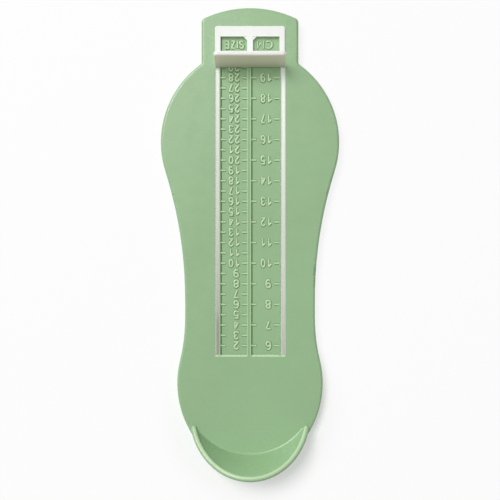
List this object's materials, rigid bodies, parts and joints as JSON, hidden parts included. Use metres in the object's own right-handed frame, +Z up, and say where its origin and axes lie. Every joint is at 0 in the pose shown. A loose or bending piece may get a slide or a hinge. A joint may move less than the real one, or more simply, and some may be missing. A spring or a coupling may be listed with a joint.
{
  "type": "infant foot measuring device",
  "caption": "Foot-shaped measuring plate with a heel cup, sunk size scales and a slider with an upright toe stop.",
  "frame": {"origin": "middle of the length and width, on the table under the grip pads", "axes": "+Y from heel to toe along the scale, +Z up, +X to the right seen from above with the toe end away"},
  "size_m": [0.0866, 0.226, 0.03],
  "materials": {
    "green_plate": "fine satin moulded ABS, sage green",
    "white_rail": "smooth moulded ABS, white",
    "white_slider": "semi-gloss moulded ABS, white",
    "runner_plastic": "slippery moulded acetal, natural white",
    "grip_rubber": "matt moulded rubber, grey"
  },
  "bodies": {
    "base": {"base_shell": "green_plate", "guide_rail_left": "white_rail", "guide_rail_right": "white_rail", "grip_pad_toe_left": "grip_rubber", "grip_pad_toe_right": "grip_rubber", "grip_pad_heel_left": "grip_rubber", "grip_pad_heel_right": "grip_rubber"},
    "slider": {"slider_frame": "white_slider", "toe_stop": "white_slider", "slider_runner_left": "runner_plastic", "slider_runner_right": "runner_plastic"}
  },
  "joints": [
    {"name": "slider_travel", "type": "slide", "parent": "base", "child": "slider", "axis": [0, -1, 0], "range_m": [0, 0.139]}
  ]
}
